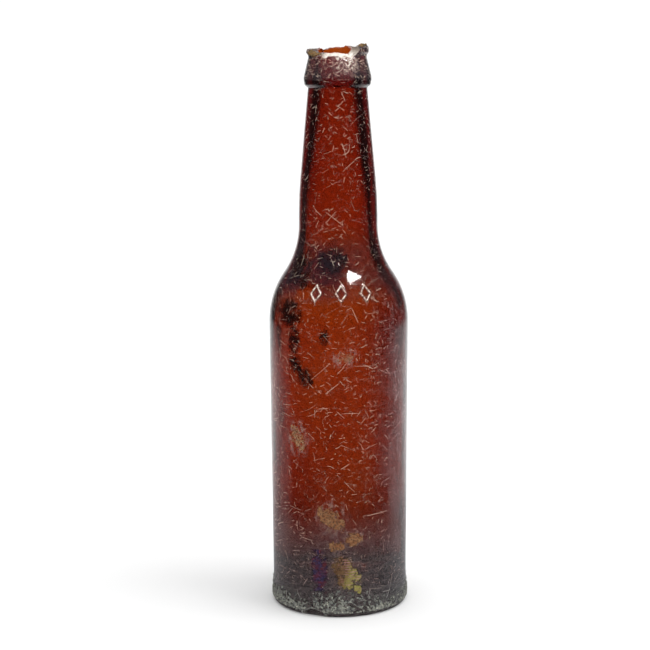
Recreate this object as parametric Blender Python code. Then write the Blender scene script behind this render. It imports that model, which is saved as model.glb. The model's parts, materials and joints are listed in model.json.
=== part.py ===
"""Empty amber glass bottle with a broken crown lip, and the residues, soil and crusts that cling to it.

The bottle stands on z = 0 with its axis on Z, and its front, with the three raised marks, faces -Y.
Lengths are in metres. An azimuth is in degrees round the axis: 0 is the front, and 90 is +X.
"""

import math
import random

import bmesh
import bpy
from mathutils import Matrix, Vector

# Driving dimensions
BODY_RADIUS = 0.0304
LABEL_RADIUS = 0.0296  # the body draws in a little above the heel
HEEL_RADIUS = 0.0299
BEARING_INNER = 0.0215  # the flat ring that the bottle stands on
HEEL_ROUND = 0.0018
PUSH_UP = 0.0045  # rise of the underside at the axis
FLOOR = 0.0105  # inside floor at the axis
SHOULDER_START = 0.1375
SHOULDER_END = 0.1563
NECK_KNEE = 0.1807
COLLAR_BASE = 0.2262
LIP_TOP = 0.2457  # as moulded, before the lip broke
NECK_RADIUS = 0.0170
NECK_TOP_RADIUS = 0.01275
COLLAR_RADIUS = 0.01475
CROWN_RADIUS = 0.01345  # the ring that a crown cap is crimped under
BORE_RADIUS = 0.0084
WALL = 0.0034

LIP_BREAK = 0.2436  # height of the highest stretches of what is left of the lip
GAP = 0.0003  # between a deposit and the glass it clings to
SEGMENTS = 48
ARC_STEP = math.radians(16)

# The mould's outer and inner outlines: corner radius, height and the round at that corner.
OUTER = [
    (0.0, PUSH_UP, 0.0),
    (0.0120, PUSH_UP - 0.0008, 0.014),
    (BEARING_INNER, 0.0, 0.0),
    (HEEL_RADIUS, 0.0, HEEL_ROUND),
    (HEEL_RADIUS, 0.0062, 0.0),
    (LABEL_RADIUS, 0.0127, 0.0),
    (BODY_RADIUS, SHOULDER_START, 0.0375),
    (NECK_RADIUS + 0.0002, SHOULDER_END, 0.0355),
    (NECK_RADIUS, NECK_KNEE, 0.200),
    (NECK_TOP_RADIUS, COLLAR_BASE, 0.0005),
    (COLLAR_RADIUS - 0.0006, COLLAR_BASE + 0.0012, 0.0012),
    (COLLAR_RADIUS, COLLAR_BASE + 0.0040, 0.0060),
    (0.0124, COLLAR_BASE + 0.0135, 0.0018),
    (CROWN_RADIUS, COLLAR_BASE + 0.0150, 0.0006),
    (CROWN_RADIUS, LIP_TOP, 0.0016),
    (0.0092, LIP_TOP, 0.0),
]
INNER = [
    (BORE_RADIUS, LIP_TOP - 0.0012, 0.0),
    (BORE_RADIUS + 0.0003, COLLAR_BASE, 0.060),
    (NECK_RADIUS - WALL - 0.0003, NECK_KNEE, 0.150),
    (NECK_RADIUS - WALL, SHOULDER_END - 0.0004, 0.040),
    (BODY_RADIUS - WALL, SHOULDER_START - 0.0010, 0.025),
    (LABEL_RADIUS - WALL, 0.0105, 0.0150),
    (0.0120, FLOOR - 0.0006, 0.020),
    (0.0, FLOOR, 0.0),
]

# What broke off the lip: azimuth, half width in degrees, depth at the outside.
LIP_CHIPS = [
    (-30.0, 62.0, 0.0045),
    (18.0, 30.0, 0.0051),
    (-84.0, 30.0, 0.0011),
    (-128.0, 34.0, 0.0017),
    (118.0, 28.0, 0.0010),
]
LIP_RIPPLES = [(5, 0.00016, 0.4), (9, 0.00018, 2.1), (13, 0.00014, 4.4)]  # waves, height, phase
CHIP_SHARE_AT_BORE = 0.62  # a chip is shallower at the bore than at the outside
CUT_SIDES = 72
CUT_RADII = (0.0060, 0.0088, 0.0110, 0.0130, 0.0170)

# The conchoidal chip at the heel: azimuth, then half sizes along the rim, radially and upwards.
HEEL_CHIP_AZIMUTH = -23.0
HEEL_CHIP_HALF_SIZES = (0.0070, 0.0030, 0.0036)
HEEL_CHIP_OUT = 0.0012  # how far outside the heel the scoop is centred

# Three raised lozenge outlines on the shoulder
MARK_AZIMUTHS = (-20.5, 2.2, 24.5)
MARK_HEIGHT = 0.1407
MARK_HALF_WIDTH = 0.0025
MARK_HALF_TALL = 0.0038
MARK_STROKE = 0.0008
MARK_RELIEF = 0.00045
MARK_ROOT = 0.0010  # how deep the relief is let into the wall, so that they fuse

AMBER = (0.30, 0.07, 0.012, 1.0)
CHAR = (0.035, 0.028, 0.030, 1.0)
OCHRE = (0.42, 0.23, 0.07, 1.0)
OLIVE = (0.38, 0.34, 0.10, 1.0)
VIOLET = (0.18, 0.05, 0.16, 1.0)
GREY = (0.30, 0.31, 0.29, 1.0)
PALE = (0.45, 0.36, 0.26, 1.0)

# Deposits on a wall: name, colour, wall, azimuth, height, half width, half height, tilt, thickness.
# The half width runs along the wall. The tilt turns the patch clockwise, seen from outside.
PATCHES = [
    ("shoulder_residue_front", CHAR, "inner", -10.0, 0.1525, 0.0066, 0.0062, 10, 0.0005),
    ("shoulder_residue_left", CHAR, "inner", -58.0, 0.1490, 0.0074, 0.0078, -25, 0.0005),
    ("wall_residue_upper", CHAR, "inner", -50.0, 0.1320, 0.0078, 0.0050, -12, 0.0005),
    ("wall_residue_outer_streak", CHAR, "inner", -66.0, 0.1200, 0.0036, 0.0062, 0, 0.0005),
    ("wall_residue_inner_streak", CHAR, "inner", -43.0, 0.1206, 0.0030, 0.0060, 5, 0.0005),
    ("residue_flake_upper", CHAR, "inner", -42.5, 0.1102, 0.0030, 0.0040, -38, 0.0005),
    ("residue_flake_lower", CHAR, "inner", -30.0, 0.1048, 0.0038, 0.0044, -34, 0.0005),
    ("residue_flake_small", CHAR, "inner", -13.0, 0.1225, 0.0022, 0.0036, 0, 0.0005),
    ("pale_film_upper", PALE, "outer", 5.5, 0.1137, 0.0050, 0.0026, -5, 0.0004),
    ("soil_smear_left", PALE, "outer", -36.0, 0.0780, 0.0030, 0.0068, -28, 0.0004),
    ("ochre_soil_streak", OCHRE, "outer", -6.5, 0.0440, 0.0034, 0.0074, -38, 0.0005),
    ("ochre_soil_tail", OCHRE, "outer", 12.0, 0.0348, 0.0044, 0.0022, 25, 0.0005),
    ("ochre_soil_lower", OCHRE, "outer", -3.5, 0.0318, 0.0040, 0.0020, 10, 0.0005),
    ("iridescent_scale", VIOLET, "outer", -16.5, 0.0208, 0.0040, 0.0086, 0, 0.0003),
    ("olive_crust", OLIVE, "outer", 6.5, 0.0193, 0.0056, 0.0094, -22, 0.0004),
]
PATCH_RINGS = (1.0, 0.6)
PATCH_SIDES = 20
PATCH_RIM = 0.4  # of the thickness, left at the patch's edge

# Soil packed on the broken lip: name, middle azimuth, half span in degrees, middle radius, half width.
LIP_SOIL = [
    ("lip_soil_left", -64.0, 26.0, 0.0112, 0.0014),
    ("lip_soil_right", 68.0, 16.0, 0.0111, 0.0014),
]
LIP_SOIL_GAP = 0.0005
LIP_SOIL_THICKNESS = 0.0006

CRUST_LOW = 0.0016
CRUST_TOP = 0.0082
CRUST_WAVES = [(3, 0.0009, 1.0), (7, 0.0006, 0.0)]  # waves, height, phase
CRUST_THICKNESS = 0.0003
CRUST_LEVELS = 6
CRUST_CROWDING = 1.0  # above 1, the levels crowd towards the heel's round
CRUST_OVER_CHIP = (0.0034, 36.0)  # how far the chip lifts the band's lower edge, and half width in degrees


def clear_scene():
    for thing in list(bpy.data.objects):
        bpy.data.objects.remove(thing)


def material(name, colour, roughness):
    made = bpy.data.materials.new(name)
    made.use_nodes = True
    shader = made.node_tree.nodes["Principled BSDF"]
    shader.inputs["Base Color"].default_value = colour
    shader.inputs["Roughness"].default_value = roughness
    shader.inputs["Metallic"].default_value = 0.0
    return made


def glass_material():
    made = material("amber_glass", AMBER, 0.08)
    shader = made.node_tree.nodes["Principled BSDF"]
    shader.inputs["IOR"].default_value = 1.52
    shader.inputs["Transmission Weight"].default_value = 0.9
    return made


def add_object(name, mesh_maker, finish):
    """An object whose mesh is what mesh_maker puts in an empty bmesh, with its faces turned outwards."""
    bm = bmesh.new()
    mesh_maker(bm)
    bmesh.ops.recalc_face_normals(bm, faces=bm.faces)
    mesh = bpy.data.meshes.new(name)
    bm.to_mesh(mesh)
    bm.free()
    if finish:
        mesh.materials.append(finish)
    made = bpy.data.objects.new(name, mesh)
    bpy.context.scene.collection.objects.link(made)
    return made


def rounded(corners):
    """The outline through these corners, each with its round turned into an arc."""
    points = []
    for k, (radius, height, round_radius) in enumerate(corners):
        here = Vector((radius, height))
        if round_radius == 0 or k in (0, len(corners) - 1):
            points.append(here)
            continue
        back = (Vector(corners[k - 1][:2]) - here).normalized()
        ahead = (Vector(corners[k + 1][:2]) - here).normalized()
        turn = math.pi - back.angle(ahead)
        reach = round_radius * math.tan(turn / 2)
        centre = here + (back + ahead).normalized() * (round_radius / math.cos(turn / 2))
        steps = math.ceil(turn / ARC_STEP)
        start = here + back * reach - centre
        way = 1 if back.cross(ahead) < 0 else -1
        for s in range(steps + 1):
            angle = way * turn * s / steps
            points.append(centre + Matrix.Rotation(angle, 2) @ start)
    return points


OUTER_LINE = rounded(OUTER)
INNER_LINE = rounded(INNER)


def wall_radius(wall, height):
    """Radius of the outer or inner wall at this height, between the floor and the lip."""
    line = OUTER_LINE if wall == "outer" else INNER_LINE[::-1]
    start = 0 if wall == "inner" else OUTER_LINE.index(min(OUTER_LINE[1:], key=lambda p: p.y))
    for low, high in zip(line[start:], line[start + 1 :]):
        if low.y <= height <= high.y and high.y > low.y:
            return low.x + (high.x - low.x) * (height - low.y) / (high.y - low.y)
    raise ValueError(f"no {wall} wall at {height}")


def angle_between(azimuth, other):
    return abs((azimuth - other + 180) % 360 - 180)


def at(azimuth, radius, height):
    """The point at this azimuth in degrees, radius and height."""
    a = math.radians(azimuth)
    return Vector((radius * math.sin(a), -radius * math.cos(a), height))


def revolve(bm):
    """The unbroken bottle: outer outline up and inner outline down, turned round the axis."""
    outline = OUTER_LINE + INNER_LINE
    rings = []
    for point in outline[1:-1]:
        rings.append([bm.verts.new(at(360 * s / SEGMENTS, point.x, point.y)) for s in range(SEGMENTS)])
    under = bm.verts.new((0, 0, outline[0].y))
    inside = bm.verts.new((0, 0, outline[-1].y))
    for s in range(SEGMENTS):
        t = (s + 1) % SEGMENTS
        bm.faces.new((under, rings[0][s], rings[0][t]))
        bm.faces.new((inside, rings[-1][t], rings[-1][s]))
        for low, high in zip(rings, rings[1:]):
            bm.faces.new((low[s], high[s], high[t], low[t]))


def break_height(azimuth, radius):
    """Height of the broken lip's surface: chips that are deepest at the outside, and small ripples."""
    height = LIP_BREAK
    for waves, size, phase in LIP_RIPPLES:
        height += size * math.sin(waves * math.radians(azimuth) + phase)
    outward = min(1, max(0, (radius - BORE_RADIUS) / (CROWN_RADIUS - BORE_RADIUS)))
    share = CHIP_SHARE_AT_BORE + (1 - CHIP_SHARE_AT_BORE) * outward
    depths = [0]
    for middle, half_width, depth in LIP_CHIPS:
        away = min(1, angle_between(azimuth, middle) / half_width)
        depths.append(depth * share * (1 - away**4))
    return height - max(depths)


def lip_cutter(bm):
    """Everything above the broken surface, as a disc whose underside follows it."""
    top = LIP_TOP + 0.004
    azimuths = [360 * s / CUT_SIDES for s in range(CUT_SIDES)]
    lows = [[bm.verts.new(at(a, r, break_height(a, r))) for a in azimuths] for r in CUT_RADII]
    middle = bm.verts.new((0, 0, LIP_BREAK))
    high = [bm.verts.new(at(a, CUT_RADII[-1], top)) for a in azimuths]
    above = bm.verts.new((0, 0, top))
    for s in range(CUT_SIDES):
        t = (s + 1) % CUT_SIDES
        bm.faces.new((middle, lows[0][t], lows[0][s]))
        bm.faces.new((above, high[s], high[t]))
        for low, outer in zip(lows, lows[1:] + [high]):
            bm.faces.new((low[s], low[t], outer[t], outer[s]))


def heel_chip_cutter(bm):
    """The scoop of the heel chip, an ellipsoid."""
    along, radial, up = HEEL_CHIP_HALF_SIZES
    bmesh.ops.create_icosphere(bm, subdivisions=3, radius=1)
    place = (
        Matrix.Translation(at(HEEL_CHIP_AZIMUTH, HEEL_RADIUS + HEEL_CHIP_OUT, 0))
        @ Matrix.Rotation(math.radians(HEEL_CHIP_AZIMUTH), 4, "Z")
        @ Matrix.Diagonal((along, radial, up, 1))
    )
    bm.transform(place)


def mark_maker(azimuth):
    """A lozenge outline that stands on the shoulder, as a function that fills a bmesh."""

    def fill(bm):
        slope = 0.0005
        rise = wall_radius("outer", MARK_HEIGHT + slope) - wall_radius("outer", MARK_HEIGHT - slope)
        lean = math.atan2(-rise, 2 * slope)
        centre = at(azimuth, wall_radius("outer", MARK_HEIGHT), MARK_HEIGHT)
        turn = Matrix.Rotation(math.radians(azimuth), 4, "Z") @ Matrix.Rotation(-lean, 4, "X")
        rings = []
        for depth in (MARK_ROOT, -MARK_RELIEF):
            for inset in (0.0, MARK_STROKE):
                wide = MARK_HALF_WIDTH - inset
                tall = MARK_HALF_TALL - inset * MARK_HALF_TALL / MARK_HALF_WIDTH
                corners = [(wide, 0), (0, tall), (-wide, 0), (0, -tall)]
                rings.append([bm.verts.new(centre + turn @ Vector((x, depth, z))) for x, z in corners])
        root_out, root_in, top_out, top_in = rings
        for s in range(4):
            t = (s + 1) % 4
            for a, b in ((root_out, top_out), (top_out, top_in), (top_in, root_in), (root_in, root_out)):
                bm.faces.new((a[s], a[t], b[t], b[s]))

    return fill


def boolean(target, tool, operation):
    tool.hide_render = True
    tool.display_type = "WIRE"
    modifier = target.modifiers.new(tool.name, "BOOLEAN")
    modifier.object = tool
    modifier.operation = operation
    modifier.solver = "EXACT"


def glass_bottle():
    """The whole bottle is one piece of glass: finish, neck, shoulder, body and base."""
    bottle = add_object("glass_bottle", revolve, glass_material())
    for azimuth in MARK_AZIMUTHS:
        boolean(bottle, add_object("mark_tool", mark_maker(azimuth), None), "UNION")
    boolean(bottle, add_object("lip_break_tool", lip_cutter, None), "DIFFERENCE")
    boolean(bottle, add_object("heel_chip_tool", heel_chip_cutter, None), "DIFFERENCE")
    bottle.data.shade_smooth()
    bottle.data.set_sharp_from_angle(angle=math.radians(35))


def two_skins(bm, near, far):
    """Closes two matching skins, each a list of rings from the rim inwards and then a middle point."""
    for rings in (near, far):
        for outer, inner in zip(rings[:-1], rings[1:-1]):
            for s in range(len(outer)):
                t = (s + 1) % len(outer)
                bm.faces.new((outer[s], outer[t], inner[t], inner[s]))
        last = rings[-2]
        for s in range(len(last)):
            bm.faces.new((last[s], last[(s + 1) % len(last)], rings[-1]))
    for s in range(len(near[0])):
        t = (s + 1) % len(near[0])
        bm.faces.new((near[0][s], near[0][t], far[0][t], far[0][s]))


def patch_maker(seed, place, half_width, half_tall, tilt):
    """A flake with an irregular rim. place(x, z, lift) puts a point of it, with lift 0 to 1 as its thickness."""
    dice = random.Random(seed)
    waves = [(n, dice.uniform(0.05, 0.13), dice.uniform(0, 2 * math.pi)) for n in (2, 3, 5)]
    lean = math.radians(tilt)

    def fill(bm):
        skins = []
        for top in (False, True):
            skin = []
            for ring in PATCH_RINGS:
                points = []
                for s in range(PATCH_SIDES):
                    a = 2 * math.pi * s / PATCH_SIDES
                    reach = ring * (0.80 + sum(h * math.sin(n * a + p) for n, h, p in waves))
                    x, z = reach * half_width * math.cos(a), reach * half_tall * math.sin(a)
                    x, z = x * math.cos(lean) + z * math.sin(lean), z * math.cos(lean) - x * math.sin(lean)
                    lift = PATCH_RIM + (1 - PATCH_RIM) * (1 - ring**2) if top else 0
                    points.append(bm.verts.new(place(x, z, lift)))
                skin.append(points)
            skin.append(bm.verts.new(place(0, 0, 1 if top else 0)))
            skins.append(skin)
        two_skins(bm, *skins)

    return fill


def wall_patches(finishes):
    for seed, (name, colour, wall, azimuth, height, wide, tall, tilt, thick) in enumerate(PATCHES):
        way = -1 if wall == "inner" else 1

        def place(x, z, lift):
            wall_here = wall_radius(wall, height + z)
            spread = math.degrees(x / wall_radius(wall, height))
            return at(azimuth + spread, wall_here + way * (GAP + lift * thick), height + z)

        add_object(name, patch_maker(seed, place, wide, tall, tilt), finishes[colour])


def lip_soil(finish):
    for seed, (name, azimuth, half_span, radius, half_width) in enumerate(LIP_SOIL):

        def place(x, z, lift):
            here = azimuth + x
            height = break_height(here, radius + z) + LIP_SOIL_GAP + lift * LIP_SOIL_THICKNESS
            return at(here, radius + z, height)

        add_object(name, patch_maker(50 + seed, place, half_span, half_width, 0), finish)


def crust_edges(azimuth):
    """Lower and upper height of the heel crust, which stays above the heel chip."""
    rise, half_width = CRUST_OVER_CHIP
    away = min(1, angle_between(azimuth, HEEL_CHIP_AZIMUTH) / half_width)
    rise *= math.cos(away * math.pi / 2) ** 2
    waves = sum(size * math.sin(n * math.radians(azimuth) + phase) for n, size, phase in CRUST_WAVES)
    return CRUST_LOW + rise, CRUST_TOP + waves + rise / 2


def heel_crust(bm):
    """A mineral band that wraps the heel."""
    sections = []
    for s in range(SEGMENTS):
        azimuth = 360 * s / SEGMENTS
        low, high = crust_edges(azimuth)
        shares = [(k / (CRUST_LEVELS - 1)) ** CRUST_CROWDING for k in range(CRUST_LEVELS)]
        heights = [low + (high - low) * share for share in shares]
        near = [at(azimuth, wall_radius("outer", z) + GAP, z) for z in heights]
        far = [at(azimuth, wall_radius("outer", z) + GAP + CRUST_THICKNESS, z) for z in heights]
        sections.append([bm.verts.new(p) for p in near + far[::-1]])
    for s, here in enumerate(sections):
        there = sections[(s + 1) % SEGMENTS]
        for k in range(len(here)):
            m = (k + 1) % len(here)
            bm.faces.new((here[k], here[m], there[m], there[k]))


def main():
    clear_scene()
    glass_bottle()
    finishes = {
        CHAR: material("char_residue", CHAR, 0.8),
        OCHRE: material("ochre_soil", OCHRE, 0.9),
        OLIVE: material("olive_crust", OLIVE, 0.8),
        VIOLET: material("iridescent_scale", VIOLET, 0.3),
        GREY: material("mineral_crust", GREY, 0.85),
        PALE: material("pale_film", PALE, 0.9),
    }
    wall_patches(finishes)
    lip_soil(finishes[OCHRE])
    add_object("heel_crust", heel_crust, finishes[GREY])


main()
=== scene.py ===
"""Looks of the old amber bottle: fine glass with its broken lip, scratches and deposits, in a pale studio.

Lengths are in metres. An azimuth is in degrees round the bottle's axis: 0 is the front, and 90 is +X.
Where a deposit lies, and how large it is, comes from its node in the CAD frame.
"""

import functools
import json
import math
import random

import bmesh
import bpy
from mathutils import Matrix, Vector, noise

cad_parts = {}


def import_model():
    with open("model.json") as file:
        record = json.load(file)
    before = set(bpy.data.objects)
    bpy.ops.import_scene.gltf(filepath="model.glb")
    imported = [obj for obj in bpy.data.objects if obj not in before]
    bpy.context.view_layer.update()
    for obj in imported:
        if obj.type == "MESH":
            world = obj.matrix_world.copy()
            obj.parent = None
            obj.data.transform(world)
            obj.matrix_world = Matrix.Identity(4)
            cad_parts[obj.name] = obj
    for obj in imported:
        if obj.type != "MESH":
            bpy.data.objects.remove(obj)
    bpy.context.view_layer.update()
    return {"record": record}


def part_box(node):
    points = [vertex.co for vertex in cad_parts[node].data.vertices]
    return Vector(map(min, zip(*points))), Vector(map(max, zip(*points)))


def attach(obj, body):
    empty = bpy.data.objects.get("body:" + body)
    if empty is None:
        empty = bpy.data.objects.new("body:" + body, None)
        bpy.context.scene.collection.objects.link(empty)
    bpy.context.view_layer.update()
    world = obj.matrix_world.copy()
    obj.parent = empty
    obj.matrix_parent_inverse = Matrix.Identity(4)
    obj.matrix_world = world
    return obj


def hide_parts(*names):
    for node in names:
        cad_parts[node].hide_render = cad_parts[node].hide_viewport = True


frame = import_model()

# The glass, as in the CAD model, with softer rounds near the heel. OUTER and INNER list the outlines'
# corners: radius, height, and the round at the corner.
BODY_RADIUS = 0.0304
LABEL_RADIUS = 0.0296
HEEL_RADIUS = 0.0299
SHOULDER_START = 0.1375
SHOULDER_END = 0.1563
NECK_KNEE = 0.1807
COLLAR_BASE = 0.2262
LIP_TOP = 0.2457  # as moulded, before the lip broke
NECK_RADIUS = 0.0170
NECK_TOP_RADIUS = 0.01275
COLLAR_RADIUS = 0.01475
CROWN_RADIUS = 0.01345  # the ring that a crown cap is crimped under
BORE_RADIUS = 0.0084
WALL = 0.0034
OUTER = [
    (0.0, 0.0045, 0.0),
    (0.0120, 0.0037, 0.014),
    (0.0213, 0.0002, 0.0010),
    (0.0235, 0.0, 0.003),
    (HEEL_RADIUS, 0.0, 0.0018),
    (HEEL_RADIUS, 0.0062, 0.012),
    (LABEL_RADIUS, 0.0127, 0.020),
    (BODY_RADIUS, SHOULDER_START, 0.0375),
    (NECK_RADIUS + 0.0002, SHOULDER_END, 0.0355),
    (NECK_RADIUS, NECK_KNEE, 0.200),
    (NECK_TOP_RADIUS, COLLAR_BASE, 0.0005),
    (COLLAR_RADIUS - 0.0006, COLLAR_BASE + 0.0012, 0.0012),
    (COLLAR_RADIUS, COLLAR_BASE + 0.0040, 0.0060),
    (0.0124, COLLAR_BASE + 0.0135, 0.0018),
    (CROWN_RADIUS, COLLAR_BASE + 0.0150, 0.0006),
    (CROWN_RADIUS, LIP_TOP, 0.0016),
    (0.0092, LIP_TOP, 0.0),
]
INNER = [
    (BORE_RADIUS, LIP_TOP, 0.0),
    (BORE_RADIUS + 0.0003, COLLAR_BASE, 0.060),
    (NECK_RADIUS - WALL - 0.0003, NECK_KNEE, 0.150),
    (NECK_RADIUS - WALL, SHOULDER_END - 0.0004, 0.040),
    (BODY_RADIUS - WALL, SHOULDER_START - 0.0010, 0.025),
    (LABEL_RADIUS - WALL, 0.0105, 0.0150),
    (0.0120, 0.0099, 0.020),
    (0.0, 0.0105, 0.0),
]
ARC_STEP = math.radians(3)
OUTER_WOBBLE = 0.00006  # about how far the blown wall stands off its outline
INNER_WOBBLE = 0.00045

# The glass mesh
# The fourth mask is a highlight painted on the collar, below the broken lip
MASKS = ("outside", "relief", "broken", "painted_collar_glint", "near")  # near is near a deposit
ROW_GAP = 0.0022  # most that two rows are apart
FINE_ROW_GAP = 0.00032  # the same where there is relief or a chip
FINE_HEIGHTS = [(-0.001, 0.0055), (0.1362, 0.1452)]  # the heel chip, and the raised marks
COLUMN_STEP = 2.0  # degrees
FINE_COLUMN_STEP = 0.6
FINE_AZIMUTHS = (-42.0, 33.0)
LIP_ROOT = 0.2342  # every column is the same below this
LIP_ROWS = 26
FRACTURE_ROWS = 12
BORE_ROWS = 8

# The broken lip, as in the CAD model, and its splinters
LIP_BREAK = 0.2436  # height of the highest stretches of what is left
LIP_CHIPS = [  # azimuth, half width in degrees, depth
    (-30.0, 62.0, 0.0045),
    (18.0, 30.0, 0.0051),
    (-84.0, 30.0, 0.0011),
    (-128.0, 34.0, 0.0017),
    (118.0, 28.0, 0.0010),
]
LIP_RIPPLES = [(5, 0.00016, 0.4), (9, 0.00018, 2.1), (13, 0.00014, 4.4)]  # waves round it, height, phase
CHIP_SHARE_AT_BORE = 0.62  # a chip is shallower at the bore than at the outside
SPLINTER_HEIGHT = 0.0007
SHELL_RIPPLE = 0.00010
SHELL_RIPPLE_PITCH = 0.00022  # of its waves, over two pi
FRACTURE_DROP = 0.0002  # makes up for the splinters
RIM_FLAKE = 0.00035  # how much has flaked off the outside of the rim
RIM_FLAKE_HEIGHT = 0.0016
RIM_NOISE_RADIUS = 0.013  # where the noise that makes the flaking uneven is read
RIM_FROST_HEIGHT = 0.0005
RIM_INSET = 0.0005  # of the break's outer edge from the wall
BORE_INSET = 0.0002  # of its inner edge from the bore, and of the bore's top from it
FROST_MIDDLE = 4.0  # azimuth of the white, splintered stretch
FROST_SPAN = (28.0, 46.0)  # degrees from there to where it starts to clear and where it is clearest
FROST_LEAST = 0.2
# A highlight painted on the collar, below the broken lip, as whitened glass
PAINTED_COLLAR_GLINT = (16.0, 32.0, 0.2300, 0.2370)  # azimuth, half width in degrees, heights where it starts and is full

# The chip in the heel
HEEL_CHIP_AZIMUTH = -23.0
HEEL_CHIP_HALF_SIZES = (0.0070, 0.0030, 0.0036)  # along the heel, inwards, and up
HEEL_CHIP_OUT = 0.0012  # how far outside the heel the scoop is centred
HEEL_CHIP_WANDER = 0.0008  # of the scoop's outline
HEEL_CHIP_RIPPLE = 0.00008
HEEL_CHIP_RIPPLE_PITCH = 0.0003
HEEL_CHIP_EDGE = 0.0007  # how far from the scoop its frosty edge reaches
HEEL_CHIP_FROST = 0.6

# The raised lozenges, a little smaller than in the CAD model, with soft edges
MARK_AZIMUTHS = (-20.5, 2.2, 24.5)
MARK_HEIGHT = 0.1407
MARK_HALF_WIDTH = 0.0022
MARK_HALF_TALL = 0.0036
MARK_STROKE = 0.0008
MARK_RELIEF = 0.00042
SHOULDER_SLOPE = math.radians(26)  # of the shoulder where the marks are, from upright

# Deposits
LEAST_HALF_WIDTH = 0.0018
GRID_REACH = 1.25  # of a deposit's grid, for each half size of its node
OUTLINE_REACH = 1.2  # of its flakes at the most
LIP_GRID_REACH = 1.1
UNDER_LIFT = 0.00002  # of a flake's underside off the glass
RIM_LIFT = 0.00006  # of its rim
RIM_MARGIN = 0.06  # least share of a grid cell that a rim keeps from the cell's corners
LIP_SOIL_RADIUS = 0.0113
LIP_SOIL_HALF_WIDTH = 0.0019
CRUST_ABOVE_NODE = 0.0035  # how far single grains reach above the crust's node

# How much red, green and blue light the glass takes out, for each metre of its thickness
ABSORPTION = (190.0, 530.0, 1100.0)
# Scratches: cell, width, reach, share of the cells that have one, shift of the pattern, wobble, lie
SCRATCH_LAYERS = [
    (0.0130, 0.00010, 0.0075, 0.25, (0.0, 0.0, 0.0), 0.0008, 0.7),
    (0.0072, 0.00009, 0.0040, 0.35, (0.31, 0.07, 0.0), 0.0004, 0.4),
    (0.0046, 0.00009, 0.0024, 0.40, (0.11, 0.52, 0.2), 0.0002, 1.0),
    (0.0030, 0.00008, 0.0014, 0.50, (0.77, 0.12, 0.4), 0.0001, 0.4),
    (0.0019, 0.00008, 0.0009, 0.55, (0.21, 0.92, 0.6), 0.0001, 0.7),
]

# Camera, as a photographer would set it: a long lens, near the lip's height, looking a little down
CAMERA_DISTANCE = 0.660
CAMERA_HEIGHT = 0.2252
CAMERA_PITCH = math.radians(8.77)
CAMERA_YAW = math.radians(0.52)
CAMERA_ROLL = math.radians(-0.33)
CAMERA_LENS = 84.3

dice = random.Random(11)


# ---------------------------------------------------------------- the glass


def rounded(corners):
    """The outline through these corners, each with its round turned into an arc."""
    points = []
    for k, (radius, height, round_radius) in enumerate(corners):
        here = Vector((radius, height))
        if round_radius == 0 or k in (0, len(corners) - 1):
            points.append(here)
            continue
        back = (Vector(corners[k - 1][:2]) - here).normalized()
        ahead = (Vector(corners[k + 1][:2]) - here).normalized()
        turn = math.pi - back.angle(ahead)
        reach = round_radius * math.tan(turn / 2)
        centre = here + (back + ahead).normalized() * (round_radius / math.cos(turn / 2))
        steps = math.ceil(turn / ARC_STEP)
        start = here + back * reach - centre
        way = 1 if back.cross(ahead) < 0 else -1
        for s in range(steps + 1):
            points.append(centre + Matrix.Rotation(way * turn * s / steps, 2) @ start)
    return points


def spaced(line):
    """The same line, with points added so that the rows of the mesh are close enough."""
    dense = [line[0]]
    for a, b in zip(line, line[1:]):
        fine = any(low < (a.y + b.y) / 2 < high or low < a.y < high for low, high in FINE_HEIGHTS)
        steps = max(1, math.ceil((b - a).length / (FINE_ROW_GAP if fine else ROW_GAP)))
        dense += [a.lerp(b, s / steps) for s in range(1, steps + 1)]
    return dense


OUTER_LINE = spaced(spaced(rounded(OUTER)))
INNER_LINE = spaced(rounded(INNER))
HEEL_ROW = min(range(1, len(OUTER_LINE)), key=lambda k: OUTER_LINE[k].y)


def wall_radius(wall, height):
    """Radius of the outer or inner wall at this height, between the floor and the lip."""
    line = OUTER_LINE[HEEL_ROW:] if wall == "outer" else INNER_LINE[::-1]
    for low, high in zip(line, line[1:]):
        if low.y <= height <= high.y and high.y > low.y:
            return low.x + (high.x - low.x) * (height - low.y) / (high.y - low.y)
    raise ValueError(f"no {wall} wall at {height}")


def at(azimuth, radius, height):
    a = math.radians(azimuth)
    return Vector((radius * math.sin(a), -radius * math.cos(a), height))


def turn_from(azimuth, middle):
    """Degrees from the middle to the azimuth, the short way round."""
    return (azimuth - middle + 180) % 360 - 180


def smooth(value, low, high):
    """0 below low, 1 above high, and a soft step between."""
    share = min(1, max(0, (value - low) / (high - low)))
    return share * share * (3 - 2 * share)


def fbm(place, grain, octaves=4):
    """Cloudy noise, about -1 to 1, with features of the given size."""
    return noise.fractal(place / grain, 0.9, 2.1, octaves, noise_basis="PERLIN_ORIGINAL")


def wall_wobble(wall, place):
    """Blown glass is not quite round: how far the wall stands off its outline."""
    if wall == "outer":
        return OUTER_WOBBLE * fbm(place, 0.03, 2)
    stretched = Vector((place.x, place.y, place.z * 0.45))
    return INNER_WOBBLE * fbm(stretched + Vector((3, 1, 7)), 0.022, 3)


def break_height(azimuth, radius):
    """Height of the broken lip, before its splinters."""
    height = LIP_BREAK
    for waves, size, phase in LIP_RIPPLES:
        height += size * math.sin(waves * math.radians(azimuth) + phase)
    outward = min(1, max(0, (radius - BORE_RADIUS) / (CROWN_RADIUS - BORE_RADIUS)))
    share = CHIP_SHARE_AT_BORE + (1 - CHIP_SHARE_AT_BORE) * outward
    depths = [0]
    for middle, half_width, depth in LIP_CHIPS:
        away = min(1, abs(turn_from(azimuth, middle)) / half_width)
        depths.append(depth * share * (1 - away**4))
    return height - max(depths)


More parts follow.
